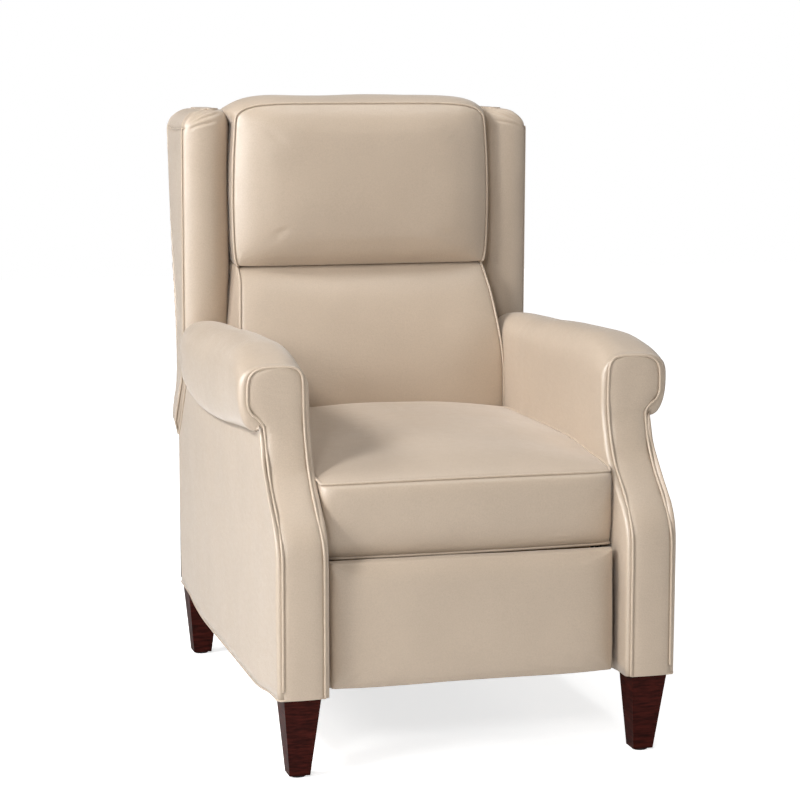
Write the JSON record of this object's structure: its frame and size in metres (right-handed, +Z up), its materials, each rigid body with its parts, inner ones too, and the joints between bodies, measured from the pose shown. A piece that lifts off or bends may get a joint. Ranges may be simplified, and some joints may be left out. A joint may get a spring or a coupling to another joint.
{
  "type": "recliner",
  "caption": "Wing-back push-back recliner in smooth taupe leather, with rolled arms, a footrest that swings out and dark tapered legs.",
  "frame": {"origin": "centre of the bounding box's base: on the floor, in the middle of the chair", "axes": "+Z up; +X across the chair, to the right as seen from the front; the front faces -Y"},
  "size_m": [0.7412, 1.02, 1.0998],
  "materials": {
    "upholstery": "satin",
    "frame_wood": "matte",
    "leg_wood": "satin",
    "mechanism_steel": "satin",
    "pin_steel": "satin",
    "cover_cloth": "matte",
    "glide_plastic": "matte"
  },
  "bodies": {
    "base": {"right_arm": "upholstery", "left_arm": "upholstery", "right_arm_board": "frame_wood", "left_arm_board": "frame_wood", "right_front_leg": "leg_wood", "left_front_leg": "leg_wood", "right_rear_leg": "leg_wood", "left_rear_leg": "leg_wood", "right_base_plate": "mechanism_steel", "left_base_plate": "mechanism_steel", "right_rear_strip": "cover_cloth", "left_rear_strip": "cover_cloth", "floor_glides": "glide_plastic", "leg_bolts": "pin_steel", "front_cross_tube": "mechanism_steel", "rear_cross_tube": "mechanism_steel", "rear_cover": "cover_cloth", "base_pins": "pin_steel"},
    "back": {"right_back_bracket": "mechanism_steel", "left_back_bracket": "mechanism_steel", "right_back_post": "frame_wood", "left_back_post": "frame_wood", "right_wing": "upholstery", "left_wing": "upholstery", "back_top_rail": "frame_wood", "back_middle_rail": "frame_wood", "back_bottom_rail": "frame_wood", "outside_back": "upholstery", "head_pillow": "upholstery", "lower_back_pad": "upholstery"},
    "swing_links": {"right_swing_link": "mechanism_steel", "left_swing_link": "mechanism_steel"},
    "seat": {"right_seat_plate": "mechanism_steel", "left_seat_plate": "mechanism_steel", "right_seat_side_rail": "frame_wood", "left_seat_side_rail": "frame_wood", "seat_front_rail": "frame_wood", "seat_rear_rail": "frame_wood", "seat_deck": "cover_cloth", "seat_cushion": "upholstery", "seat_pins": "pin_steel"},
    "main_links": {"right_main_link": "mechanism_steel", "left_main_link": "mechanism_steel", "torque_tube": "mechanism_steel", "main_link_pins": "pin_steel"},
    "guide_links": {"right_guide_link": "mechanism_steel", "left_guide_link": "mechanism_steel", "guide_link_pins": "pin_steel"},
    "carrier_links": {"right_carrier_link": "mechanism_steel", "left_carrier_link": "mechanism_steel"},
    "control_links": {"right_control_link": "mechanism_steel", "left_control_link": "mechanism_steel"},
    "footrest": {"right_footrest_bracket": "mechanism_steel", "left_footrest_bracket": "mechanism_steel", "footrest_board": "frame_wood", "footrest_pad": "upholstery", "footrest_pins": "pin_steel"}
  },
  "joints": [
    {"name": "back_recline", "type": "hinge", "parent": "base", "child": "back", "pos_m": [0, 0.315, 0.352], "axis": [-1, 0, 0], "range_deg": [0, 25]},
    {"name": "swing_link_turn", "type": "hinge", "parent": "base", "child": "swing_links", "pos_m": [0, -0.2, 0.33], "axis": [-1, 0, 0], "range_deg": [0, 25]},
    {"name": "seat_glide", "type": "hinge", "parent": "swing_links", "child": "seat", "pos_m": [0, -0.2, 0.25], "axis": [-1, 0, 0], "range_deg": [-25, 0]},
    {"name": "footrest_open", "type": "hinge", "parent": "seat", "child": "main_links", "pos_m": [0, -0.325, 0.3], "axis": [-1, 0, 0], "range_deg": [0, 135]},
    {"name": "guide_link_turn", "type": "hinge", "parent": "seat", "child": "guide_links", "pos_m": [0, -0.397, 0.332], "axis": [-1, 0, 0], "range_deg": [0, 135]},
    {"name": "carrier_link_turn", "type": "hinge", "parent": "main_links", "child": "carrier_links", "pos_m": [0, -0.14525, 0.14097], "axis": [-1, 0, 0], "range_deg": [-135, 0]},
    {"name": "footrest_turn", "type": "hinge", "parent": "carrier_links", "child": "footrest", "pos_m": [0, -0.395, 0.175], "axis": [-1, 0, 0], "range_deg": [0, 90]},
    {"name": "control_link_turn", "type": "hinge", "parent": "guide_links", "child": "control_links", "pos_m": [0, -0.24258, 0.1838], "axis": [-1, 0, 0], "range_deg": [-135, 0]}
  ],
  "couplings": [
    {"joint": "swing_link_turn", "follows": "back_recline", "ratio": 1},
    {"joint": "seat_glide", "follows": "back_recline", "ratio": -1},
    {"joint": "guide_link_turn", "follows": "footrest_open", "ratio": 1},
    {"joint": "carrier_link_turn", "follows": "footrest_open", "ratio": -1},
    {"joint": "footrest_turn", "follows": "footrest_open", "ratio": 0.66667},
    {"joint": "control_link_turn", "follows": "footrest_open", "ratio": -1}
  ]
}
